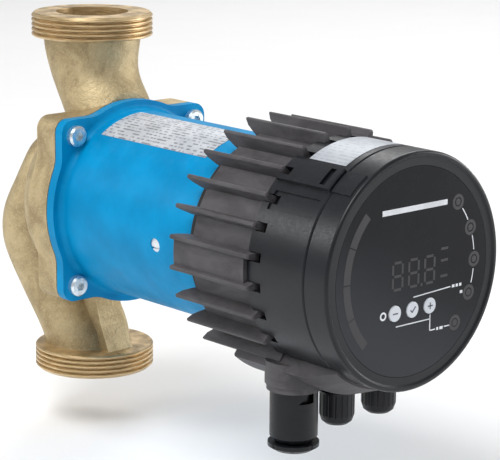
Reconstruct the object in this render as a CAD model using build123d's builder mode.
from build123d import *
import os
from math import cos, hypot, radians, sin

# Wet-rotor circulator pump, in millimetres.
# The pipe axis is Z and the origin is the centre of the inlet (lower) port face.
# The motor axis is horizontal, at mid height, and the motor points towards -Y.
# Distances along the motor axis are called "depth": depth d is the plane y = -d.

os.makedirs("parts", exist_ok=True)

# ---------------------------------------------------------------- driving dimensions
PORT_TO_PORT = 180.0
AXIS_Z = PORT_TO_PORT / 2

# G2 pipe thread on both ports (ISO 228)
THREAD_R = 29.807
THREAD_PITCH = 2.309
THREAD_DEPTH = 1.479
COLLAR_H = 11.6
COLLAR_CHAMFER = 1.4
PORT_BORE_R = 17.75
NECK_R = 23.25

# pump housing
CASTING_WALL = 4.6
DRUM_R = 50.0
DOME_REAR = -8.0
DOME_R = 48.4
DOME_FLAT_R = 27.0
CHAMBER_R = 42.0
CHAMBER_REAR = -0.5
CHAMBER_FRONT = 18.5
EYE_R = 13.0
WEAR_RING_R = 17.2
PILOT_R = 44.4
FLANGE_REAR = 13.6
WEB_W = 15.0
FLANGE_FACE = 27.7
SCREW_HALF_SPACING = 36.6
FLANGE_HALF = 44.4
FLANGE_CORNER_R = 6.5
FLANGE_BLEND_R = 18.0

# rotor and its bearings
SHAFT_R = 5.0
BEARING_R = 9.0
RUNNING_GAP = 0.04
CAN_BORE_R = 21.5
CAN_WALL = 0.5
CAN_END = 112.0
ROTOR_R = 21.0
ROTOR_BACK = 42.0
ROTOR_FRONT = 100.0
IMPELLER_R = 34.0
BLADE_COUNT = 7

# stator and motor housing
STATOR_R = 42.4
STATOR_BORE_R = 22.3
STATOR_BACK = 46.0
STATOR_FRONT = 98.0
TOOTH_COUNT = 9
TOOTH_W = 6.8
YOKE_R = 37.0
BARREL_R = 45.0
MOTOR_FLANGE_BACK = 28.3
MOTOR_FLANGE_FRONT = 33.3
BARREL_END = 129.0

# heat sink
SINK_BACK = 133.0
SINK_FLOOR = 141.0
SINK_FRONT = 174.0
SINK_R = 50.6
SINK_INNER_R = 46.6
FIN_TIP_R = 56.0
FIN_STEP = 14.4
FIN_FIRST = 86.4
FIN_REAR = 126.4
FIN_FRONT = 178.2
FIN_ROOT_W = 3.8
FIN_TIP_W = 2.0
PAD_R = 54.6
PAD_HALF_ANGLE = 6.8
BAY_FROM = 229.5
BAY_TO = 310.5
BAY_R = 59.8
BAY_BACK = 150.0
BAY_BEND = 195.0
BAY_FRONT = 211.6

# control head
COVER_R = 52.6
COVER_BACK = 174.4
COVER_FRONT = 209.0
NOTCH_FLOOR_R = 48.8
NOTCH_END = 182.4
NOTCH_W = 4.2
LATCH_R = 54.8
LATCH_FROM = 121.5
LATCH_TO = 134.5
LATCH_FRONT = 208.8
RING_BACK = 209.4
RING_FRONT = 223.0
WINDOW_R = 46.0
PANEL_BACK = 219.4
PANEL_FACE = 222.0
BUTTON_SPACING = 10.7
BUTTON_DROP = 16.6
BUTTON_R = 3.7

# connectors under the head: their axes stand at this depth, heights below the motor axis
CONNECTOR_DEPTH = 177.0
CONNECTOR_SPACING = 26.5
SOCKET_R = 13.1
SOCKET_TOP = 44.0
SHROUD_TOP = 43.2
SHROUD_STEP = 53.8
SOCKET_FACE = 56.6
PLUG_R = 10.75
GLAND_R = 8.0
GLAND_SEAT = 60.2
GLAND_HEX_H = 2.2
GLAND_TOP = 54.0
GLAND_END = 71.8
GLAND_TAIL_R = 5.9
GLAND_THREAD_R = 6.2
GLAND_BORE_R = 3.6
GLAND_SEAL_TOP = 64.0
GLAND_SEAL_R = 5.0
GLAND_SEAL_H = 8.1
SIGNAL_CABLE_R = 2.9

MOTOR = Plane(origin=(0, 0, AXIS_Z), x_dir=(1, 0, 0), z_dir=(0, -1, 0))
MOTOR_AXIS = Axis((0, 0, AXIS_Z), (0, -1, 0))


def radial_plane(angle):
    """Plane through the motor axis: local x is depth, local y is the radius at this angle."""
    a = radians(angle)
    return Plane(origin=(0, 0, AXIS_Z), x_dir=(0, -1, 0), z_dir=(-sin(a), 0, cos(a)))


PROFILE = radial_plane(90)


def below(height):
    """Horizontal plane at this height below the motor axis, facing down."""
    return Plane(origin=(0, 0, AXIS_Z - height), x_dir=(1, 0, 0), z_dir=(0, 0, -1))


def connector_at(index):
    """Place of a connector on a downward plane: -1 power plug, 0 and 1 cable glands."""
    return (index * CONNECTOR_SPACING, CONNECTOR_DEPTH)


PIN_PLACES = [(4.5 * k - CONNECTOR_SPACING, CONNECTOR_DEPTH) for k in (-1, 0, 1)]
SCREW_PLACES = [
    (sx * SCREW_HALF_SPACING, sy * SCREW_HALF_SPACING) for sx in (-1, 1) for sy in (-1, 1)
]


def flange_outline():
    """Square flange with rounded corners; the round chamber bulges past its sides."""
    with BuildSketch() as outline:
        RectangleRounded(2 * FLANGE_HALF, 2 * FLANGE_HALF, FLANGE_CORNER_R)
        Circle(DRUM_R)
        inner_corners = [
            v
            for v in outline.vertices()
            if abs(hypot(v.X, v.Y) - DRUM_R) < 0.01
            and abs(max(abs(v.X), abs(v.Y)) - FLANGE_HALF) < 0.01
        ]
        fillet(inner_corners, FLANGE_BLEND_R)
    return outline.sketch


# ---------------------------------------------------------------- pump housing
# Sections of the suction duct: height above the inlet face, half widths along X and Y, centre Y.
# It rises from the lower port, bulges out behind the impeller chamber and feeds the impeller eye.
SUCTION = [
    (9.0, NECK_R - 0.6, NECK_R - 0.6, 2.2),
    (16.5, 22.0, 21.7, 7.2),
    (24.0, 22.8, 22.0, 11.8),
    (37.0, 24.5, 21.5, 21.0),
    (50.0, 29.0, 21.5, 24.8),
    (62.0, 33.0, 21.5, 26.2),
    (72.0, 34.5, 21.5, 25.6),
    (83.0, 34.0, 21.0, 23.2),
    (95.0, 31.0, 19.5, 19.2),
    (107.0, 27.0, 16.5, 16.5),
    (115.0, 22.5, 13.5, 14.5),
    (122.0, 12.0, 7.5, 11.0),
]
# The discharge duct runs up from the chamber and bends back onto the pipe axis.
DISCHARGE = [
    (171.0, NECK_R, NECK_R, 0.0),
    (156.0, 22.3, 22.3, -0.4),
    (147.0, 21.6, 21.6, -3.6),
    (140.0, 21.9, 21.6, -8.2),
    (134.0, 22.4, 20.5, -12.0),
    (122.0, 22.4, 15.0, -12.0),
]

with BuildPart() as pump_housing:
    # impeller chamber: a dome about the motor axis, closed by the flange
    with BuildSketch(PROFILE):
        with BuildLine():
            Polyline((DOME_REAR, DOME_FLAT_R), (DOME_REAR, 0), (FLANGE_REAR + 1, 0),
                     (FLANGE_REAR + 1, DOME_R))
            Spline((FLANGE_REAR + 1, DOME_R), (1.0, DOME_R - 5.0), (DOME_REAR, DOME_FLAT_R))
        make_face()
    revolve(axis=MOTOR_AXIS)
    with BuildSketch(MOTOR.offset(FLANGE_REAR)):
        add(flange_outline())
    extrude(amount=FLANGE_FACE - FLANGE_REAR)
    for duct in (SUCTION, DISCHARGE):
        for height, half_x, half_y, centre_y in duct:
            with BuildSketch(Plane.XY.offset(height)):
                with Locations((0, centre_y)):
                    Ellipse(half_x, half_y)
        loft()
    with BuildSketch(MOTOR.offset(FLANGE_FACE)):
        Rectangle(2 * DRUM_R + 20, 2 * DRUM_R + 20)
    extrude(amount=20, mode=Mode.SUBTRACT)
    # web down the front of the suction duct, from the chamber to the collar
    with BuildSketch(Plane.YZ):
        Polygon((10, 10), (-22, 10), (-15, 24), (-10.5, 38), (-10, 52), (10, 52), align=None)
    extrude(amount=WEB_W / 2, both=True)
    # threaded collars
    for port_z, inward in ((0.0, 1), (PORT_TO_PORT, -1)):
        with BuildSketch(Plane.XZ):
            with BuildLine():
                crests = [(THREAD_R - THREAD_DEPTH, 0.0), (THREAD_R - COLLAR_CHAMFER, 0.0)]
                crests.append((THREAD_R, COLLAR_CHAMFER))
                crest_end = COLLAR_CHAMFER + 0.5
                while crest_end < COLLAR_H - THREAD_PITCH:
                    crests.append((THREAD_R, crest_end))
                    crests.append((THREAD_R - THREAD_DEPTH, crest_end + THREAD_PITCH * 0.3))
                    crests.append((THREAD_R - THREAD_DEPTH, crest_end + THREAD_PITCH * 0.4))
                    crests.append((THREAD_R, crest_end + THREAD_PITCH * 0.7))
                    crest_end = crest_end + THREAD_PITCH
                crests.append((THREAD_R, COLLAR_H - 0.6))
                crests.append((THREAD_R - 0.6, COLLAR_H))
                crests.append((PORT_BORE_R, COLLAR_H))
                crests.append((PORT_BORE_R, 0.0))
                Polyline(*[(r, port_z + inward * z) for r, z in crests], close=True)
            make_face()
        revolve(axis=Axis.Z)
    # water passages
    with BuildSketch(PROFILE):
        with BuildLine():
            Polyline((CHAMBER_REAR, 0), (CHAMBER_REAR, CHAMBER_R - 8))
            RadiusArc((CHAMBER_REAR, CHAMBER_R - 8), (CHAMBER_REAR + 8, CHAMBER_R), 8)
            Polyline((CHAMBER_REAR + 8, CHAMBER_R), (CHAMBER_FRONT, CHAMBER_R), (CHAMBER_FRONT, 0))
            Line((CHAMBER_FRONT, 0), (CHAMBER_REAR, 0))
        make_face()
    revolve(axis=MOTOR_AXIS, mode=Mode.SUBTRACT)
    with BuildSketch(MOTOR.offset(CHAMBER_FRONT)):
        Circle(PILOT_R)
    extrude(amount=FLANGE_FACE - CHAMBER_FRONT, mode=Mode.SUBTRACT)
    with BuildSketch(MOTOR.offset(-16)):
        Circle(EYE_R + 1)
    extrude(amount=17, mode=Mode.SUBTRACT)
    with BuildSketch(MOTOR.offset(-7)):
        Circle(WEAR_RING_R)
    extrude(amount=8, mode=Mode.SUBTRACT)
    for duct, port_z in ((SUCTION, 0.0), (DISCHARGE, PORT_TO_PORT)):
        for height, half_x, half_y, centre_y in duct[:-1]:
            wall = NECK_R - PORT_BORE_R if height == duct[0][0] else CASTING_WALL
            with BuildSketch(Plane.XY.offset(height)):
                with Locations((0, centre_y)):
                    Ellipse(half_x - wall, half_y - wall)
        loft(mode=Mode.SUBTRACT)
        with BuildSketch(Plane.XY.offset(port_z)):
            Circle(PORT_BORE_R)
        extrude(amount=duct[0][0] - port_z, mode=Mode.SUBTRACT)
    # tapped holes for the flange screws
    with BuildSketch(MOTOR.offset(FLANGE_FACE)):
        with Locations(*SCREW_PLACES):
            Circle(3.0)
    extrude(amount=-12.5, mode=Mode.SUBTRACT)
pump_housing.part.label = "pump_housing"
export_step(pump_housing.part, "parts/pump_housing.step")

with BuildPart() as wear_ring:
    with BuildSketch(MOTOR.offset(-7)):
        Circle(WEAR_RING_R)
        Circle(EYE_R + 2.2, mode=Mode.SUBTRACT)
    extrude(amount=6.4)
wear_ring.part.label = "wear_ring"
export_step(wear_ring.part, "parts/wear_ring.step")

with BuildPart() as housing_o_ring:
    with BuildSketch(MOTOR.offset(FLANGE_FACE)):
        Circle(DRUM_R - 1.2)
        Circle(PILOT_R + 0.4, mode=Mode.SUBTRACT)
    extrude(amount=MOTOR_FLANGE_BACK - FLANGE_FACE)
housing_o_ring.part.label = "housing_o_ring"
export_step(housing_o_ring.part, "parts/housing_o_ring.step")

# ---------------------------------------------------------------- impeller and rotor
with BuildPart() as impeller:
    # front shroud with the eye collar
    with BuildSketch(PROFILE):
        Polygon((-4.5, EYE_R), (-4.5, EYE_R + 1.8), (0.6, EYE_R + 1.8), (1.6, EYE_R + 4), (4.2, IMPELLER_R),
                (5.8, IMPELLER_R), (3.2, EYE_R + 4), (1.8, EYE_R), align=None)
    revolve(axis=MOTOR_AXIS)
    # back shroud with the hub
    with BuildSketch(PROFILE):
        Polygon((2.5, SHAFT_R), (2.5, 7.0), (9.0, 9.5), (13.2, 13.0), (13.2, IMPELLER_R), (15.0, IMPELLER_R),
                (15.0, SHAFT_R), align=None)
    revolve(axis=MOTOR_AXIS)
    # backward-curved blades
    blade_line = ThreePointArc((12.0, 0), (22.5, 5.6), (28.5, 17.0), mode=Mode.PRIVATE)
    with BuildSketch(MOTOR.offset(2.6)):
        with PolarLocations(0, BLADE_COUNT):
            SlotArc(blade_line, 1.8)
    extrude(amount=11.0)
    # trim the blade corners back under the front shroud
    with BuildSketch(PROFILE):
        Polygon((-6, EYE_R + 0.2), (1.7, EYE_R + 0.2), (3.1, EYE_R + 4.05), (5.7, IMPELLER_R + 0.1),
                (5.7, IMPELLER_R + 4), (15.5, IMPELLER_R + 4), (15.5, 0), (-6, 0), align=None)
        Polygon((-5, EYE_R), (-5, EYE_R + 1.8), (0.6, EYE_R + 1.8), (1.6, EYE_R + 4), (4.2, IMPELLER_R),
                (6.5, IMPELLER_R), (6.5, EYE_R), align=None)
    revolve(axis=MOTOR_AXIS, mode=Mode.INTERSECT)
impeller.part.label = "impeller"
export_step(impeller.part, "parts/impeller.step")

with BuildPart() as rotor_shaft:
    with BuildSketch(MOTOR.offset(-1.0)):
        Circle(SHAFT_R)
    extrude(amount=120.0)
    with BuildSketch(MOTOR.offset(-1.0)):
        Circle(1.5)
    extrude(amount=120.0, mode=Mode.SUBTRACT)
    end_rims = rotor_shaft.edges().filter_by(GeomType.CIRCLE)
    chamfer(end_rims.filter_by(lambda e: e.radius > SHAFT_R - 0.01), 0.6)
rotor_shaft.part.label = "rotor_shaft"
export_step(rotor_shaft.part, "parts/rotor_shaft.step")

with BuildPart() as impeller_clip:
    with BuildSketch(MOTOR.offset(0.2)):
        Circle(SHAFT_R + 1.6)
        Circle(SHAFT_R, mode=Mode.SUBTRACT)
    extrude(amount=2.3)
impeller_clip.part.label = "impeller_clip"
export_step(impeller_clip.part, "parts/impeller_clip.step")

with BuildPart() as thrust_ring:
    with BuildSketch(MOTOR.offset(34.6)):
        Circle(8.6)
        Circle(SHAFT_R, mode=Mode.SUBTRACT)
    extrude(amount=3.6)
thrust_ring.part.label = "thrust_ring"
export_step(thrust_ring.part, "parts/thrust_ring.step")

MAGNET_COUNT = 4
MAGNET_BASE_R = 15.2
with BuildPart() as rotor_core:
    with BuildSketch(MOTOR.offset(ROTOR_BACK)):
        Circle(MAGNET_BASE_R)
        Circle(SHAFT_R, mode=Mode.SUBTRACT)
        with PolarLocations(10.5, 6):
            Circle(2.0, mode=Mode.SUBTRACT)
    extrude(amount=ROTOR_FRONT - ROTOR_BACK)
rotor_core.part.label = "rotor_core"
export_step(rotor_core.part, "parts/rotor_core.step")

with BuildPart() as rotor_magnets:
    with BuildSketch(MOTOR.offset(ROTOR_BACK)):
        Circle(ROTOR_R - 1.0)
        Circle(MAGNET_BASE_R, mode=Mode.SUBTRACT)
        with PolarLocations(0, MAGNET_COUNT):
            Rectangle(ROTOR_R + 2, 1.6, align=(Align.MIN, Align.CENTER), mode=Mode.SUBTRACT)
    extrude(amount=ROTOR_FRONT - ROTOR_BACK)
rotor_magnets.part.label = "rotor_magnets"
export_step(rotor_magnets.part, "parts/rotor_magnets.step")

with BuildPart() as rotor_sleeve:
    with BuildSketch(PROFILE):
        Polygon((ROTOR_BACK - 1, SHAFT_R), (ROTOR_BACK - 1, ROTOR_R), (ROTOR_FRONT + 1, ROTOR_R),
                (ROTOR_FRONT + 1, SHAFT_R), (ROTOR_FRONT, SHAFT_R), (ROTOR_FRONT, ROTOR_R - 1),
                (ROTOR_BACK, ROTOR_R - 1), (ROTOR_BACK, SHAFT_R), align=None)
    revolve(axis=MOTOR_AXIS)
rotor_sleeve.part.label = "rotor_sleeve"
export_step(rotor_sleeve.part, "parts/rotor_sleeve.step")

# ---------------------------------------------------------------- wet side of the motor
with BuildPart() as bearing_plate:
    with BuildSketch(PROFILE):
        Polygon((CHAMBER_FRONT, BEARING_R), (CHAMBER_FRONT, PILOT_R - 0.2), (20.6, PILOT_R - 0.2),
                (20.6, 13.0),
                (34.2, 11.5), (34.2, BEARING_R), align=None)
    revolve(axis=MOTOR_AXIS)
    with BuildSketch(MOTOR.offset(CHAMBER_FRONT)):
        with PolarLocations(16.5, 4, start_angle=45):
            Circle(1.5)
    extrude(amount=3, mode=Mode.SUBTRACT)
bearing_plate.part.label = "bearing_plate"
export_step(bearing_plate.part, "parts/bearing_plate.step")

for bearing_name, bearing_back in (("front_bearing", 21.5), ("rear_bearing", 105.0)):
    with BuildPart() as carbon_bearing:
        with BuildSketch(MOTOR.offset(bearing_back)):
            Circle(BEARING_R)
            Circle(SHAFT_R + RUNNING_GAP, mode=Mode.SUBTRACT)
        extrude(amount=12.5)
        with BuildSketch(MOTOR.offset(bearing_back)):
            with PolarLocations(SHAFT_R + RUNNING_GAP, 3):
                Circle(0.8)
        extrude(amount=12.5, mode=Mode.SUBTRACT)
    carbon_bearing.part.label = bearing_name
    export_step(carbon_bearing.part, f"parts/{bearing_name}.step")

with BuildPart() as rotor_can:
    # thin cup that keeps the water out of the stator, with a seat for the far bearing
    with BuildSketch(PROFILE):
        Polygon((20.6, CAN_BORE_R), (20.6, PILOT_R - 0.2), (20.6 + CAN_WALL, PILOT_R - 0.2),
                (20.6 + CAN_WALL, CAN_BORE_R + CAN_WALL), (CAN_END - 8, CAN_BORE_R + CAN_WALL),
                (CAN_END - 7.5, BEARING_R + CAN_WALL),
                (CAN_END + 8.5, BEARING_R + CAN_WALL), (CAN_END + 8.5, 0),
                (CAN_END + 8, 0), (CAN_END + 8, BEARING_R), (CAN_END - 8, BEARING_R),
                (CAN_END - 8.5, CAN_BORE_R), align=None)
    revolve(axis=MOTOR_AXIS)
rotor_can.part.label = "rotor_can"
export_step(rotor_can.part, "parts/rotor_can.step")

with BuildPart() as can_seal:
    with BuildSketch(PROFILE):
        with Locations((23.0, PILOT_R - 3.0)):
            Circle(1.6)
    revolve(axis=MOTOR_AXIS)
can_seal.part.label = "can_seal"
export_step(can_seal.part, "parts/can_seal.step")

# ---------------------------------------------------------------- stator
TOOTH_STEP = 360 / TOOTH_COUNT
with BuildPart() as stator_core:
    with BuildSketch(MOTOR.offset(STATOR_BACK)):
        Circle(STATOR_R)
        Circle(YOKE_R, mode=Mode.SUBTRACT)
        with PolarLocations(0, TOOTH_COUNT, start_angle=90):
            with Locations((STATOR_BORE_R - 1, 0)):
                Rectangle(YOKE_R + 1.5 - STATOR_BORE_R, TOOTH_W, align=(Align.MIN, Align.CENTER))
        with BuildSketch(mode=Mode.ADD):
            Circle(STATOR_BORE_R + 2)
            with PolarLocations(0, TOOTH_COUNT, start_angle=90 + TOOTH_STEP / 2):
                Rectangle(STATOR_BORE_R + 4, 3.0, align=(Align.MIN, Align.CENTER), mode=Mode.SUBTRACT)
        Circle(STATOR_BORE_R, mode=Mode.SUBTRACT)
    extrude(amount=STATOR_FRONT - STATOR_BACK)
stator_core.part.label = "stator_core"
export_step(stator_core.part, "parts/stator_core.step")

COIL_BACK_R = 25.0
COIL_TOP_R = 36.2
COIL_OVERHANG = 8.0
STACK_MIDDLE = (STATOR_BACK + STATOR_FRONT) / 2
STACK_LENGTH = STATOR_FRONT - STATOR_BACK


def loop_round_tooth(angle, inner_gap, thickness, overhang, from_r, to_r):
    """A rectangular frame wound about one tooth, standing on the radius at this angle."""
    a = radians(angle)
    base = Plane(
        origin=(from_r * cos(a), -STACK_MIDDLE, AXIS_Z + from_r * sin(a)),
        x_dir=(0, -1, 0),
        z_dir=(cos(a), 0, sin(a)),
    )
    with BuildPart() as winding:
        with BuildSketch(base):
            RectangleRounded(STACK_LENGTH + 2 * overhang, TOOTH_W + 2 * inner_gap + 2 * thickness, thickness)
            Rectangle(STACK_LENGTH + 2 * inner_gap, TOOTH_W + 2 * inner_gap, mode=Mode.SUBTRACT)
        extrude(amount=to_r - from_r)
    return winding.part


with BuildPart() as stator_windings:
    for tooth in range(TOOTH_COUNT):
        add(loop_round_tooth(90 + tooth * TOOTH_STEP, 0.7, 2.7, COIL_OVERHANG, COIL_BACK_R, COIL_TOP_R))
stator_windings.part.label = "stator_windings"
export_step(stator_windings.part, "parts/stator_windings.step")

with BuildPart() as winding_bobbins:
    for tooth in range(TOOTH_COUNT):
        add(loop_round_tooth(90 + tooth * TOOTH_STEP, 0.05, 0.6, 0.65, COIL_BACK_R - 0.6, COIL_TOP_R + 0.5))
winding_bobbins.part.label = "winding_bobbins"
export_step(winding_bobbins.part, "parts/winding_bobbins.step")

# ---------------------------------------------------------------- motor housing
DRAIN_ANGLE = 184.0
DRAIN_DEPTH = 103.0
DRAIN_R = 3.3
with BuildPart() as motor_housing:
    with BuildSketch(MOTOR.offset(MOTOR_FLANGE_BACK)):
        add(flange_outline())
    extrude(amount=MOTOR_FLANGE_FRONT - MOTOR_FLANGE_BACK)
    # barrel with a fillet at the flange
    with BuildSketch(PROFILE):
        with BuildLine():
            Line((MOTOR_FLANGE_BACK, 0), (MOTOR_FLANGE_BACK, BARREL_R + 3))
            Line((MOTOR_FLANGE_BACK, BARREL_R + 3), (MOTOR_FLANGE_FRONT, BARREL_R + 3))
            RadiusArc((MOTOR_FLANGE_FRONT, BARREL_R + 3), (MOTOR_FLANGE_FRONT + 3, BARREL_R), -3)
            Polyline((MOTOR_FLANGE_FRONT + 3, BARREL_R), (BARREL_END - 1, BARREL_R),
                     (BARREL_END, BARREL_R - 1),
                     (BARREL_END, 0), (MOTOR_FLANGE_BACK, 0))
        make_face()
    revolve(axis=MOTOR_AXIS)
    # spigot that enters the pump housing and clamps the can
    with BuildSketch(MOTOR.offset(25.2)):
        Circle(PILOT_R - 0.2)
    extrude(amount=5)
    # stator bore, and the end wall that carries the can's far end
    with BuildSketch(MOTOR.offset(25.2)):
        Circle(STATOR_R)
    extrude(amount=BARREL_END - 6 - 25.2, mode=Mode.SUBTRACT)
    with BuildSketch(MOTOR.offset(BARREL_END - 7)):
        Circle(7.0)
        with Locations((0, 27)):
            SlotOverall(20, 9)
    extrude(amount=8, mode=Mode.SUBTRACT)
    # tapped bosses for the heat sink screws
    with BuildSketch(MOTOR.offset(BARREL_END - 6)):
        with PolarLocations(34, 4, start_angle=45):
            Circle(4.0)
    extrude(amount=-8)
    with BuildSketch(MOTOR.offset(BARREL_END)):
        with PolarLocations(34, 4, start_angle=45):
            Circle(2.0)
    extrude(amount=-13, mode=Mode.SUBTRACT)
    with BuildSketch(MOTOR.offset(MOTOR_FLANGE_BACK)):
        with Locations(*SCREW_PLACES):
            Circle(3.3)
    extrude(amount=6, mode=Mode.SUBTRACT)
    # flats for the screw heads, and the drain hole
    with BuildSketch(MOTOR.offset(MOTOR_FLANGE_FRONT)):
        with Locations(*SCREW_PLACES):
            Circle(5.9)
    extrude(amount=4, mode=Mode.SUBTRACT)
    drain_plane = Plane(
        origin=(
            (BARREL_R + 2) * cos(radians(DRAIN_ANGLE)),
            -DRAIN_DEPTH,
            AXIS_Z + (BARREL_R + 2) * sin(radians(DRAIN_ANGLE)),
        ),
        x_dir=(0, -1, 0),
        z_dir=(-cos(radians(DRAIN_ANGLE)), 0, -sin(radians(DRAIN_ANGLE))),
    )
    with BuildSketch(drain_plane):
        Circle(DRAIN_R)
    extrude(amount=6, mode=Mode.SUBTRACT)
motor_housing.part.label = "motor_housing"
export_step(motor_housing.part, "parts/motor_housing.step")

with BuildPart() as drain_insert:
    with BuildSketch(drain_plane.offset(2.8)):
        Circle(DRAIN_R - 0.05)
        with Locations((0, DRAIN_R * 0.45)):
            Rectangle(2 * DRAIN_R, 0.9, mode=Mode.SUBTRACT)
    extrude(amount=1.4)
    with BuildSketch(drain_plane.offset(3.6)):
        Circle(DRAIN_R - 0.05)
    extrude(amount=0.8)
drain_insert.part.label = "drain_insert"
export_step(drain_insert.part, "parts/drain_insert.step")

with BuildPart() as flange_screws:
    with BuildSketch(MOTOR.offset(16.5)):
        with Locations(*SCREW_PLACES):
            Circle(2.95)
    extrude(amount=MOTOR_FLANGE_FRONT - 16.5)
    with BuildSketch(MOTOR.offset(MOTOR_FLANGE_FRONT)):
        with Locations(*SCREW_PLACES):
            Circle(5.0)
    extrude(amount=3.4)
    chamfer(flange_screws.faces().filter_by(Plane.XZ).sort_by(Axis.Y)[:4].edges(), 0.9)
    with BuildSketch(MOTOR.offset(MOTOR_FLANGE_FRONT + 3.4)):
        with Locations(*SCREW_PLACES):
            RegularPolygon(2.4, 6)
    extrude(amount=-2.2, mode=Mode.SUBTRACT)
flange_screws.part.label = "flange_screws"
export_step(flange_screws.part, "parts/flange_screws.step")

LABEL_FROM = 92.0
LABEL_TO = 125.0
with BuildPart() as rating_label:
    with BuildSketch(radial_plane(LABEL_FROM)):
        with Locations(((40.0 + 116.0) / 2, BARREL_R + 0.1)):
            Rectangle(116.0 - 40.0, 0.2)
    revolve(axis=MOTOR_AXIS, revolution_arc=LABEL_TO - LABEL_FROM)
rating_label.part.label = "rating_label"
export_step(rating_label.part, "parts/rating_label.step")

# ---------------------------------------------------------------- heat sink
# Screws, floor and fins stand on the motor; the bay below carries the cable connectors.
SINK_SCREW_R = 34.0
SINK_SCREWS = 4


def sector(points, start_angle, end_angle):
    """Solid swept about the motor axis from a (depth, radius) outline between two angles."""
    with BuildPart() as swept:
        with BuildSketch(radial_plane(start_angle)):
            Polygon(*points, align=None)
        revolve(axis=MOTOR_AXIS, revolution_arc=end_angle - start_angle)
    return swept.part


def fin_angles():
    """Angles of all fins; the connector bay interrupts them."""
    count = round(360 / FIN_STEP)
    angles = [(FIN_FIRST + FIN_STEP * k) % 360 for k in range(count)]
    return [a for a in angles if not BAY_FROM + 1 < a < BAY_TO - 1]


with BuildPart() as head_seal:
    with BuildSketch(MOTOR.offset(BARREL_END)):
        Circle(BARREL_R + 1.2)
        Circle(39.0, mode=Mode.SUBTRACT)
    extrude(amount=SINK_BACK - BARREL_END)
head_seal.part.label = "head_seal"
export_step(head_seal.part, "parts/head_seal.step")

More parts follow.
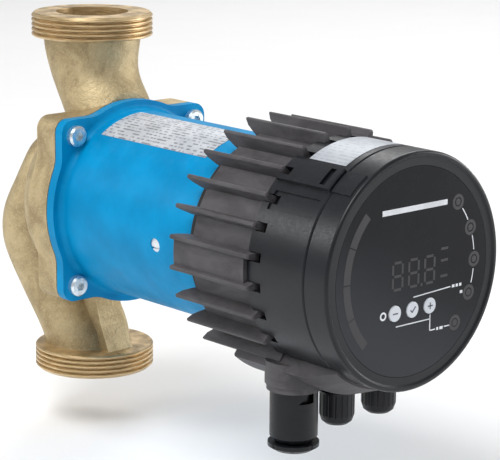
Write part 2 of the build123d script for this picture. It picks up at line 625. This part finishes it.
with BuildPart() as heat_sink:
    # floor and side wall; the wall is flat between the fins
    with BuildSketch(MOTOR.offset(SINK_BACK)):
        RegularPolygon(SINK_R, round(360 / FIN_STEP), rotation=FIN_FIRST)
    extrude(amount=SINK_FRONT - SINK_BACK)
    chamfer(heat_sink.faces().sort_by(Axis.Y)[-1].outer_wire().edges(), 2.5)
    with BuildSketch(MOTOR.offset(SINK_FLOOR)):
        Circle(SINK_INNER_R)
    extrude(amount=SINK_FRONT - SINK_FLOOR, mode=Mode.SUBTRACT)
    # centring boss towards the motor
    with BuildSketch(MOTOR.offset(BARREL_END + 0.2)):
        Circle(38.6)
    extrude(amount=SINK_BACK - BARREL_END)
    # fins reach back over the motor barrel and forward over the cover; they thin towards the tips
    with BuildSketch(MOTOR.offset(FIN_REAR)):
        for angle in fin_angles():
            with PolarLocations(0, 1, start_angle=angle):
                Polygon((SINK_INNER_R + 1, -FIN_ROOT_W / 2), (SINK_R, -FIN_ROOT_W / 2),
                        (FIN_TIP_R, -FIN_TIP_W / 2),
                        (FIN_TIP_R + 0.4, -FIN_TIP_W / 4), (FIN_TIP_R + 0.4, FIN_TIP_W / 4),
                        (FIN_TIP_R, FIN_TIP_W / 2), (SINK_R, FIN_ROOT_W / 2),
                        (SINK_INNER_R + 1, FIN_ROOT_W / 2),
                        align=None)
    extrude(amount=FIN_FRONT - FIN_REAR)
    # solid pads level with the motor axis
    for pad_angle in (0, 180):
        add(sector([(FIN_REAR + 0.8, SINK_INNER_R + 1), (FIN_REAR + 0.8, PAD_R), (SINK_FRONT, PAD_R),
                    (SINK_FRONT, SINK_INNER_R + 1)], pad_angle - PAD_HALF_ANGLE, pad_angle + PAD_HALF_ANGLE))
    # fins and pads are undercut where they pass the barrel, and where they enter the cover's notches
    with BuildSketch(PROFILE):
        Polygon((FIN_REAR - 1, SINK_INNER_R - 1), (SINK_BACK, SINK_INNER_R - 1),
                (SINK_BACK + 1.5, SINK_R - 2),
                (FIN_REAR + 2.0, FIN_TIP_R - 2.6), (FIN_REAR, FIN_TIP_R + 1), (FIN_REAR - 1, FIN_TIP_R + 1),
                align=None)
        Polygon((SINK_FRONT, SINK_INNER_R - 1), (FIN_FRONT + 1, SINK_INNER_R - 1),
                (FIN_FRONT + 1, NOTCH_FLOOR_R + 0.6), (SINK_FRONT, NOTCH_FLOOR_R + 0.6), align=None)
        Polygon((FIN_FRONT - 0.8, FIN_TIP_R + 1), (FIN_FRONT + 0.5, FIN_TIP_R - 1.5),
                (FIN_FRONT + 0.5, FIN_TIP_R + 1),
                align=None)
    revolve(axis=MOTOR_AXIS, mode=Mode.SUBTRACT)
    # connector bay: outer shell, then the terminal chamber inside it
    add(sector([(BAY_BACK, SINK_INNER_R + 0.5), (BAY_BACK, BAY_R - 1), (BAY_BACK + 1, BAY_R),
                (BAY_BEND, BAY_R),
                (BAY_FRONT, COVER_R + 1.2), (BAY_FRONT, SINK_INNER_R + 0.5)], BAY_FROM + 0.4, BAY_TO - 0.4))
    with BuildSketch(below(SHROUD_TOP)):
        with Locations(connector_at(-1)):
            Circle(SOCKET_R)
    extrude(amount=SHROUD_STEP - SHROUD_TOP)
    with BuildSketch(below(SHROUD_STEP)):
        with Locations(connector_at(-1)):
            Circle(SOCKET_R - 0.8)
    extrude(amount=SOCKET_FACE - SHROUD_STEP)
    with BuildSketch(below(SOCKET_TOP)):
        with Locations(connector_at(-1)):
            Circle(SOCKET_R - 2)
    extrude(amount=BAY_R - SOCKET_TOP, mode=Mode.SUBTRACT)
    add(sector([(BAY_BACK + 3, SINK_INNER_R - 6), (BAY_BACK + 3, BAY_R - 3), (BAY_BEND - 1, BAY_R - 3),
                (BAY_FRONT - 2.5, COVER_R - 1),
                (BAY_FRONT - 2.5, SINK_INNER_R - 6)], BAY_FROM + 4, BAY_TO - 4),
        mode=Mode.SUBTRACT)
    with BuildSketch(below(SOCKET_TOP - 4)):
        with Locations(*PIN_PLACES):
            Circle(1.4)
    extrude(amount=5, mode=Mode.SUBTRACT)
    # bosses and tapped entries for the two cable glands
    with BuildSketch(below(GLAND_SEAT)):
        with Locations(connector_at(0), connector_at(1)):
            Circle(9.2)
    extrude(amount=-4.5)
    with BuildSketch(below(GLAND_SEAT)):
        with Locations(connector_at(1)):
            Circle(9.2)
    extrude(amount=-10)
    with BuildSketch(below(GLAND_SEAT)):
        with Locations(connector_at(0), connector_at(1)):
            Circle(9.2)
    extrude(amount=3, mode=Mode.SUBTRACT)
    with BuildSketch(below(46)):
        with Locations(connector_at(0), connector_at(1)):
            Circle(6.0)
    extrude(amount=20, mode=Mode.SUBTRACT)
    # holes for the screws into the motor, and the passage for the motor lead
    with BuildSketch(MOTOR.offset(BARREL_END)):
        with PolarLocations(SINK_SCREW_R, SINK_SCREWS, start_angle=45):
            Circle(2.3)
        with Locations((0, 27)):
            SlotOverall(18, 7)
        Circle(13.0)
    extrude(amount=SINK_FLOOR - BARREL_END - 5, mode=Mode.SUBTRACT)
    with BuildSketch(MOTOR.offset(SINK_FLOOR - 6)):
        with PolarLocations(SINK_SCREW_R, SINK_SCREWS, start_angle=45):
            Circle(2.3)
        with Locations((0, 27)):
            SlotOverall(18, 7)
    extrude(amount=7, mode=Mode.SUBTRACT)
heat_sink.part.label = "heat_sink"
export_step(heat_sink.part, "parts/heat_sink.step")

with BuildPart() as heat_sink_screws:
    with BuildSketch(MOTOR.offset(BARREL_END - 10)):
        with PolarLocations(SINK_SCREW_R, SINK_SCREWS, start_angle=45):
            Circle(1.95)
    extrude(amount=SINK_FLOOR - BARREL_END + 10)
    with BuildSketch(MOTOR.offset(SINK_FLOOR)):
        with PolarLocations(SINK_SCREW_R, SINK_SCREWS, start_angle=45):
            Circle(3.8)
    extrude(amount=2.4)
heat_sink_screws.part.label = "heat_sink_screws"
export_step(heat_sink_screws.part, "parts/heat_sink_screws.step")

# ---------------------------------------------------------------- electronics
BOARD_BACK = 152.0
BOARD_T = 1.6
BOARD_R = 44.0
with BuildPart() as thermal_pad:
    with BuildSketch(MOTOR.offset(SINK_FLOOR)):
        with Locations((0, -8)):
            Rectangle(40, 25)
    extrude(amount=0.5)
thermal_pad.part.label = "thermal_pad"
export_step(thermal_pad.part, "parts/thermal_pad.step")

with BuildPart() as power_module:
    with BuildSketch(MOTOR.offset(SINK_FLOOR + 0.5)):
        with Locations((0, -8)):
            Rectangle(38, 23)
    extrude(amount=4.5)
    with BuildSketch(MOTOR.offset(SINK_FLOOR + 5)):
        for side in (-1, 1):
            with Locations((0, -8 + side * 10.5)):
                with GridLocations(3.2, 1, 11, 1):
                    Rectangle(0.9, 0.7)
    extrude(amount=BOARD_BACK - SINK_FLOOR - 5)
power_module.part.label = "power_module"
export_step(power_module.part, "parts/power_module.step")

with BuildPart() as power_board:
    with BuildSketch(MOTOR.offset(BOARD_BACK)):
        Circle(BOARD_R)
        with PolarLocations(39.5, 4, start_angle=0):
            Circle(1.7, mode=Mode.SUBTRACT)
        with Locations((0, -BOARD_R)):
            Rectangle(30, 8, mode=Mode.SUBTRACT)
    extrude(amount=BOARD_T)
power_board.part.label = "power_board"
export_step(power_board.part, "parts/power_board.step")

with BuildPart() as board_spacers:
    with BuildSketch(MOTOR.offset(SINK_FLOOR)):
        with PolarLocations(39.5, 4, start_angle=0):
            Circle(3.0)
    extrude(amount=BOARD_BACK - SINK_FLOOR)
    with BuildSketch(MOTOR.offset(BOARD_BACK)):
        with PolarLocations(39.5, 4, start_angle=0):
            Circle(1.6)
    extrude(amount=BOARD_T + 0.4)
board_spacers.part.label = "board_spacers"
export_step(board_spacers.part, "parts/board_spacers.step")

COMPONENT_BASE = BOARD_BACK + BOARD_T
with BuildPart() as bus_capacitors:
    with BuildSketch(MOTOR.offset(COMPONENT_BASE)):
        with Locations((-22, 20), (0, 27)):
            Circle(9.0)
    extrude(amount=34)
    fillet(bus_capacitors.faces().filter_by(Plane.XZ).sort_by(Axis.Y)[:2].edges(), 1.2)
bus_capacitors.part.label = "bus_capacitors"
export_step(bus_capacitors.part, "parts/bus_capacitors.step")

with BuildPart() as filter_choke:
    with BuildSketch(MOTOR.offset(COMPONENT_BASE)):
        with Locations((23, 16)):
            Circle(11.0)
            Circle(4.5, mode=Mode.SUBTRACT)
    extrude(amount=13)
    fillet(filter_choke.edges().filter_by(GeomType.CIRCLE), 2.0)
filter_choke.part.label = "filter_choke"
export_step(filter_choke.part, "parts/filter_choke.step")

with BuildPart() as relay:
    with BuildSketch(MOTOR.offset(COMPONENT_BASE)):
        with Locations((-26, -8)):
            Rectangle(15, 20)
    extrude(amount=16)
    fillet(relay.edges().filter_by(Axis.Y), 0.8)
relay.part.label = "relay"
export_step(relay.part, "parts/relay.step")

TERMINAL_WAYS = 6
with BuildPart() as terminal_block:
    with BuildSketch(MOTOR.offset(COMPONENT_BASE)):
        with Locations((2, -30)):
            Rectangle(TERMINAL_WAYS * 5.08 + 1.5, 11)
    extrude(amount=12)
    with BuildSketch(MOTOR.offset(COMPONENT_BASE + 12)):
        with Locations((2, -28.4)):
            with GridLocations(5.08, 1, TERMINAL_WAYS, 1):
                Circle(1.8)
    extrude(amount=-5, mode=Mode.SUBTRACT)
    with BuildSketch(below(36 - 0.5)):
        with Locations((2, COMPONENT_BASE + 5)):
            with GridLocations(5.08, 1, TERMINAL_WAYS, 1):
                Rectangle(3.4, 4)
    extrude(amount=-7, mode=Mode.SUBTRACT)
terminal_block.part.label = "terminal_block"
export_step(terminal_block.part, "parts/terminal_block.step")

DISPLAY_BOARD_BACK = 208.0
PEG_CIRCLE_R = 40.2
PEG_ANGLES = (90, 248, 292)
with BuildPart() as board_link:
    with BuildSketch(MOTOR.offset(COMPONENT_BASE)):
        with Locations((26, -14)):
            Rectangle(5, 16)
    extrude(amount=DISPLAY_BOARD_BACK - COMPONENT_BASE)
board_link.part.label = "board_link"
export_step(board_link.part, "parts/board_link.step")

with BuildPart() as display_board:
    with BuildSketch(MOTOR.offset(DISPLAY_BOARD_BACK)):
        Circle(43.0)
        for peg_angle in PEG_ANGLES:
            with PolarLocations(PEG_CIRCLE_R, 1, start_angle=peg_angle):
                Circle(1.4, mode=Mode.SUBTRACT)
    extrude(amount=BOARD_T)
display_board.part.label = "display_board"
export_step(display_board.part, "parts/display_board.step")

with BuildPart() as display_module:
    with BuildSketch(MOTOR.offset(DISPLAY_BOARD_BACK + BOARD_T)):
        with Locations((0, 1.0)):
            Rectangle(31, 20)
    extrude(amount=PANEL_BACK - 0.4 - DISPLAY_BOARD_BACK - BOARD_T)
display_module.part.label = "display_module"
export_step(display_module.part, "parts/display_module.step")

SWITCH_FRONT = 213.4
BUTTON_NAMES = ["button_minus", "button_select", "button_plus"]
BUTTON_PLACES = [(x * BUTTON_SPACING, -BUTTON_DROP) for x in (-1, 0, 1)]
with BuildPart() as button_switches:
    with BuildSketch(MOTOR.offset(DISPLAY_BOARD_BACK + BOARD_T)):
        with Locations(*BUTTON_PLACES):
            Rectangle(6, 6)
    extrude(amount=SWITCH_FRONT - DISPLAY_BOARD_BACK - BOARD_T)
    with BuildSketch(MOTOR.offset(SWITCH_FRONT)):
        with Locations(*BUTTON_PLACES):
            Circle(1.6)
    extrude(amount=0.5)
button_switches.part.label = "button_switches"
export_step(button_switches.part, "parts/button_switches.step")

GUIDE_R = 38.2
with BuildPart() as level_light_guide:
    for segment in range(5):
        start = 136 + segment * 18
        add(sector([(DISPLAY_BOARD_BACK + BOARD_T + 1, GUIDE_R - 0.7), (PANEL_BACK - 0.4, GUIDE_R - 0.7),
                    (PANEL_BACK - 0.4, GUIDE_R + 3.0), (DISPLAY_BOARD_BACK + BOARD_T + 1, GUIDE_R + 3.0)],
                   start, start + 16))
level_light_guide.part.label = "level_light_guide"
export_step(level_light_guide.part, "parts/level_light_guide.step")

with BuildPart() as mode_light_guides:
    with BuildSketch(MOTOR.offset(DISPLAY_BOARD_BACK + BOARD_T + 1)):
        with PolarLocations(GUIDE_R, 5, start_angle=-45, angular_range=90, endpoint=True):
            Circle(3.4)
    extrude(amount=PANEL_BACK - 0.4 - DISPLAY_BOARD_BACK - BOARD_T - 1)
mode_light_guides.part.label = "mode_light_guides"
export_step(mode_light_guides.part, "parts/mode_light_guides.step")

# ---------------------------------------------------------------- cover, ring, panel, buttons
with BuildPart() as cover_seal:
    with BuildSketch(MOTOR.offset(SINK_FRONT)):
        Circle(SINK_R - 1.6)
        Circle(SINK_INNER_R + 0.2, mode=Mode.SUBTRACT)
    extrude(amount=COVER_BACK - SINK_FRONT)
    with BuildSketch(radial_plane(BAY_FROM)):
        with Locations((SINK_FRONT, 40.0)):
            Rectangle(8, 30)
    revolve(axis=MOTOR_AXIS, revolution_arc=BAY_TO - BAY_FROM, mode=Mode.SUBTRACT)
cover_seal.part.label = "cover_seal"
export_step(cover_seal.part, "parts/cover_seal.step")

BAY_CLEARANCE = 0.4
with BuildPart() as control_cover:
    # shell with a spigot that centres it inside the heat sink wall
    with BuildSketch(PROFILE):
        Polygon((SINK_FRONT - 5, 43.8), (SINK_FRONT - 5, 46.2), (COVER_BACK, 46.2), (COVER_BACK, COVER_R),
                (COVER_FRONT - 0.6, COVER_R), (COVER_FRONT, COVER_R - 0.6), (COVER_FRONT, 49.6),
                (NOTCH_END + 6, 49.6), (NOTCH_END + 4, 46.4), (COVER_BACK + 3, 46.4), (COVER_BACK + 3, 43.8),
                align=None)
    revolve(axis=MOTOR_AXIS)
    # opening over the connector bay
    add(sector([(SINK_FRONT - 6, 40), (SINK_FRONT - 6, 60), (COVER_FRONT + 1, 60), (COVER_FRONT + 1, 40)],
               BAY_FROM, BAY_TO), mode=Mode.SUBTRACT)
    # raised latch with a finger slot
    add(sector([(176.0, COVER_R - 1), (176.0, LATCH_R - 0.8), (177.0, LATCH_R), (LATCH_FRONT - 0.6, LATCH_R),
                (LATCH_FRONT, LATCH_R - 0.6), (LATCH_FRONT, COVER_R - 1)], LATCH_FROM, LATCH_TO))
    add(sector([(202.0, LATCH_R - 1.6), (202.0, LATCH_R + 1), (205.2, LATCH_R + 1), (205.2, LATCH_R - 1.6)],
               LATCH_FROM + 1.6, LATCH_TO - 1.6), mode=Mode.SUBTRACT)
    # shallow recess beside the latch
    add(sector([(178.5, COVER_R - 0.9), (178.5, 54), (206.0, 54), (206.0, COVER_R - 0.9)], 139.5, 149.5),
        mode=Mode.SUBTRACT)
    # notches that take the front ends of the fins
    with BuildSketch(MOTOR.offset(SINK_FRONT - 0.2)):
        for angle in fin_angles():
            with PolarLocations(NOTCH_FLOOR_R, 1, start_angle=angle):
                Rectangle(COVER_R, NOTCH_W, align=(Align.MIN, Align.CENTER))
    extrude(amount=NOTCH_END - SINK_FRONT + 0.2, mode=Mode.SUBTRACT)
control_cover.part.label = "control_cover"
export_step(control_cover.part, "parts/control_cover.step")

with BuildPart() as cover_label:
    add(sector([(182.8, COVER_R), (182.8, COVER_R + 0.2), (205.0, COVER_R + 0.2), (205.0, COVER_R)],
               80.0, 118.0))
cover_label.part.label = "cover_label"
export_step(cover_label.part, "parts/cover_label.step")

RING_ROUND = 1.3
RIM_STEP = 0.9
RIM_INNER_R = 49.6
with BuildPart() as cover_ring:
    with BuildSketch(PROFILE):
        with BuildLine():
            Polyline((RING_BACK - 5, 46.8), (RING_BACK - 5, 49.3), (RING_BACK, 49.3),
                     (RING_BACK, COVER_R - 0.5),
                     (RING_BACK + 0.5, COVER_R), (RING_FRONT - RING_ROUND, COVER_R))
            RadiusArc((RING_FRONT - RING_ROUND, COVER_R), (RING_FRONT, COVER_R - RING_ROUND), RING_ROUND)
            Polyline((RING_FRONT, COVER_R - RING_ROUND), (RING_FRONT, RIM_INNER_R + RIM_STEP),
                     (RING_FRONT - RIM_STEP, RIM_INNER_R), (PANEL_FACE, WINDOW_R + 0.2),
                     (PANEL_BACK, WINDOW_R + 0.2), (PANEL_BACK, 44.6), (PANEL_BACK - 2, 44.6),
                     (PANEL_BACK - 2, 46.8), (RING_BACK - 5, 46.8))
        make_face()
    revolve(axis=MOTOR_AXIS)
    add(sector([(RING_BACK - 6, 40), (RING_BACK - 6, 60), (BAY_FRONT + BAY_CLEARANCE, 60),
                (BAY_FRONT + BAY_CLEARANCE, 40)], BAY_FROM, BAY_TO), mode=Mode.SUBTRACT)
    # foot of the latch on the ring
    add(sector([(RING_BACK, COVER_R - 1), (RING_BACK, COVER_R + 0.8), (RING_FRONT - 2.4, COVER_R + 0.8),
                (RING_FRONT - 1.6, COVER_R - 1)], LATCH_FROM, LATCH_TO))
cover_ring.part.label = "cover_ring"
export_step(cover_ring.part, "parts/cover_ring.step")

with BuildPart() as front_panel:
    with BuildSketch(MOTOR.offset(PANEL_BACK)):
        Circle(WINDOW_R)
        with Locations(*BUTTON_PLACES):
            Circle(BUTTON_R + 0.15, mode=Mode.SUBTRACT)
    extrude(amount=PANEL_FACE - PANEL_BACK)
    # pegs that carry the display board
    with BuildSketch(MOTOR.offset(PANEL_BACK)):
        for peg_angle in PEG_ANGLES:
            with PolarLocations(PEG_CIRCLE_R, 1, start_angle=peg_angle):
                Circle(2.2)
    extrude(amount=DISPLAY_BOARD_BACK + BOARD_T - PANEL_BACK)
    with BuildSketch(MOTOR.offset(DISPLAY_BOARD_BACK + BOARD_T)):
        for peg_angle in PEG_ANGLES:
            with PolarLocations(PEG_CIRCLE_R, 1, start_angle=peg_angle):
                Circle(1.35)
    extrude(amount=-BOARD_T - 0.6)
front_panel.part.label = "front_panel"
export_step(front_panel.part, "parts/front_panel.step")

BUTTON_TRAVEL = 0.4
for button_name, button_place in zip(BUTTON_NAMES, BUTTON_PLACES):
    with BuildPart() as button:
        with BuildSketch(MOTOR.offset(PANEL_BACK - 0.4)):
            with Locations(button_place):
                Circle(BUTTON_R - 0.15)
        extrude(amount=PANEL_FACE + BUTTON_TRAVEL + 0.1 - PANEL_BACK + 0.4)
        fillet(button.faces().sort_by(Axis.Y)[0].edges(), 0.35)
        with BuildSketch(MOTOR.offset(PANEL_BACK - 1.5)):
            with Locations(button_place):
                Circle(BUTTON_R + 0.7)
        extrude(amount=1.1)
        with BuildSketch(MOTOR.offset(SWITCH_FRONT + 0.5 + BUTTON_TRAVEL + 0.3)):
            with Locations(button_place):
                Circle(1.4)
        extrude(amount=PANEL_BACK - 1.5 - SWITCH_FRONT - 0.8 - BUTTON_TRAVEL)
    button.part.label = button_name
    export_step(button.part, f"parts/{button_name}.step")

# ---------------------------------------------------------------- connectors
with BuildPart() as power_socket:
    with BuildSketch(below(SOCKET_TOP)):
        with Locations(connector_at(-1)):
            Circle(SOCKET_R - 2.1)
        with Locations(*PIN_PLACES):
            Circle(1.0, mode=Mode.SUBTRACT)
    extrude(amount=4.5)
power_socket.part.label = "power_socket"
export_step(power_socket.part, "parts/power_socket.step")

with BuildPart() as socket_pins:
    with BuildSketch(below(41.5)):
        with Locations(*PIN_PLACES):
            Circle(1.0)
    extrude(amount=14.5)
    chamfer(socket_pins.faces().sort_by(Axis.Z)[:3].edges(), 0.4)
socket_pins.part.label = "socket_pins"
export_step(socket_pins.part, "parts/socket_pins.step")

PLUG_TOP = 49.0
PLUG_END = 84.5
PLUG_NECK_R = 7.4
with BuildPart() as power_plug:
    with BuildSketch(below(PLUG_TOP)):
        with Locations(connector_at(-1)):
            Circle(SOCKET_R - 2.5)
    extrude(amount=SOCKET_FACE + 0.4 - PLUG_TOP)
    with BuildSketch(below(SOCKET_FACE + 0.4)):
        with Locations(connector_at(-1)):
            Circle(PLUG_R)
    extrude(amount=78.0 - SOCKET_FACE - 0.4)
    with BuildSketch(below(78.0)):
        with Locations(connector_at(-1)):
            Circle(PLUG_R)
    with BuildSketch(below(80.6)):
        with Locations(connector_at(-1)):
            Circle(8.2)
    loft()
    with BuildSketch(below(80.6)):
        with Locations(connector_at(-1)):
            Circle(PLUG_NECK_R)
    extrude(amount=2.0)
    # release catch: a wedge-shaped pocket under the socket rim, on the front right
    with BuildSketch(Plane(origin=(-CONNECTOR_SPACING, -CONNECTOR_DEPTH, AXIS_Z), x_dir=(0.95, -0.31, 0),
                           z_dir=(-0.31, -0.95, 0))):
        with Locations((2.0, -SOCKET_FACE - 0.4)):
            Polygon((-4.6, -4.6), (3.0, -4.6), (3.0, 0.0), (0.6, 0.0), align=None)
    extrude(amount=PLUG_R + 1, mode=Mode.SUBTRACT)
    with BuildSketch(below(SOCKET_FACE + 0.4)):
        with Locations(connector_at(-1)):
            Circle(PLUG_R - 2.2)
    extrude(amount=6)
    # holes for the three pins and for the cable
    with BuildSketch(below(PLUG_TOP)):
        with Locations(*PIN_PLACES):
            Circle(1.4)
    extrude(amount=8.0, mode=Mode.SUBTRACT)
    with BuildSketch(below(66.0)):
        with Locations(connector_at(-1)):
            Circle(5.0)
    extrude(amount=20, mode=Mode.SUBTRACT)
power_plug.part.label = "power_plug"
export_step(power_plug.part, "parts/power_plug.step")

with BuildPart() as plug_seal:
    with BuildSketch(below(72.0)):
        with Locations(connector_at(-1)):
            Circle(4.9)
            Circle(3.2, mode=Mode.SUBTRACT)
    extrude(amount=10.4)
plug_seal.part.label = "plug_seal"
export_step(plug_seal.part, "parts/plug_seal.step")

with BuildPart() as plug_nut:
    with BuildSketch(below(80.9)):
        with Locations(connector_at(-1)):
            Circle(11.5)
    extrude(amount=PLUG_END - 80.9)
    chamfer(plug_nut.faces().sort_by(Axis.Z)[0].edges(), 1.8, 2.8)
    with BuildSketch(below(80.9)):
        with Locations(connector_at(-1)):
            Circle(PLUG_NECK_R + 0.1)
    extrude(amount=2.0, mode=Mode.SUBTRACT)
    with BuildSketch(below(80.9)):
        with Locations(connector_at(-1)):
            Circle(4.2)
            with PolarLocations(12.7, 8):
                Circle(1.7)
    extrude(amount=6, mode=Mode.SUBTRACT)
plug_nut.part.label = "plug_nut"
export_step(plug_nut.part, "parts/plug_nut.step")

GLAND_PLACES = [connector_at(0), connector_at(1)]
with BuildPart() as gland_bodies:
    with BuildSketch(below(GLAND_TOP)):
        with Locations(*GLAND_PLACES):
            Circle(GLAND_TAIL_R)
    extrude(amount=GLAND_SEAT - GLAND_TOP)
    with BuildSketch(below(GLAND_SEAT)):
        with Locations(*GLAND_PLACES):
            RegularPolygon(7.9, 6, rotation=15)
    extrude(amount=GLAND_HEX_H)
    with BuildSketch(below(GLAND_SEAT + GLAND_HEX_H)):
        with Locations(*GLAND_PLACES):
            Circle(GLAND_THREAD_R)
    extrude(amount=GLAND_END - GLAND_SEAT - GLAND_HEX_H)
    with BuildSketch(below(GLAND_TOP)):
        with Locations(*GLAND_PLACES):
            Circle(GLAND_BORE_R)
    extrude(amount=10, mode=Mode.SUBTRACT)
    with BuildSketch(below(GLAND_SEAL_TOP)):
        with Locations(*GLAND_PLACES):
            Circle(GLAND_SEAL_R)
    extrude(amount=10, mode=Mode.SUBTRACT)
gland_bodies.part.label = "gland_bodies"
export_step(gland_bodies.part, "parts/gland_bodies.step")

CAP_TOP = GLAND_SEAT + GLAND_HEX_H + 0.3
CAP_END = 78.0
with BuildPart() as gland_caps:
    for place in GLAND_PLACES:
        with BuildSketch(Plane(origin=(place[0], -place[1], AXIS_Z), x_dir=(1, 0, 0), z_dir=(0, -1, 0))):
            Polygon((6.3, -CAP_TOP), (GLAND_R, -CAP_TOP), (GLAND_R, -73.6), (7.0, -76.6), (5.3, -CAP_END),
                    (3.3, -CAP_END), (3.3, -72.3), (6.3, -72.3), align=None)
        revolve(axis=Axis((place[0], -place[1], 0), (0, 0, 1)))
    with BuildSketch(below(CAP_TOP + 1)):
        for place in GLAND_PLACES:
            with Locations(place):
                with PolarLocations(GLAND_R + 0.35, 18):
                    Circle(0.7)
    extrude(amount=CAP_END - CAP_TOP, mode=Mode.SUBTRACT)
gland_caps.part.label = "gland_caps"
export_step(gland_caps.part, "parts/gland_caps.step")

with BuildPart() as gland_seals:
    with BuildSketch(below(GLAND_SEAL_TOP + 0.1)):
        with Locations(*GLAND_PLACES):
            Circle(GLAND_SEAL_R - 0.1)
            Circle(SIGNAL_CABLE_R, mode=Mode.SUBTRACT)
    extrude(amount=GLAND_SEAL_H)
gland_seals.part.label = "gland_seals"
export_step(gland_seals.part, "parts/gland_seals.step")
